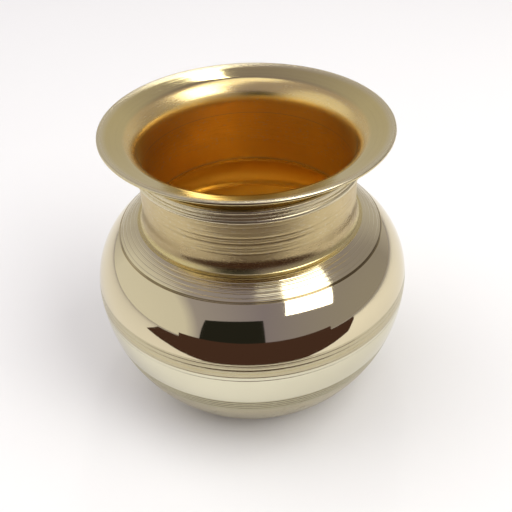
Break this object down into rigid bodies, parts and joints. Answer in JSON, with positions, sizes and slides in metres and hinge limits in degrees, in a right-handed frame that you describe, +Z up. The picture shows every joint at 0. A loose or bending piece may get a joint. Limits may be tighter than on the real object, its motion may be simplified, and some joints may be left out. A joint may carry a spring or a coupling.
{
  "type": "brass kalash pot",
  "caption": "Round-bellied turned brass water pot with a waisted neck, a wide flared mouth and a flat base to stand on.",
  "frame": {"origin": "centre of the flat ring that the base stands on", "axes": "+Z up along the pot's axis of turning, towards the mouth; X and Y are alike because the pot is turned"},
  "size_m": [0.106, 0.106, 0.098],
  "materials": {
    "mouth_brass": "turned satin outside, amber lacquered inside",
    "neck_brass": "turned satin with tool marks",
    "shoulder_brass": "bright polished, pale gold",
    "bowl_brass": "bright polished, pale gold, satin near the base",
    "brazing_filler": "dull"
  },
  "bodies": {
    "root": {"mouth_ring": "mouth_brass", "neck_collar": "neck_brass", "shoulder_shell": "shoulder_brass", "bowl_shell": "bowl_brass", "mouth_braze": "brazing_filler", "neck_braze": "brazing_filler", "belly_braze": "brazing_filler"}
  },
  "joints": []
}
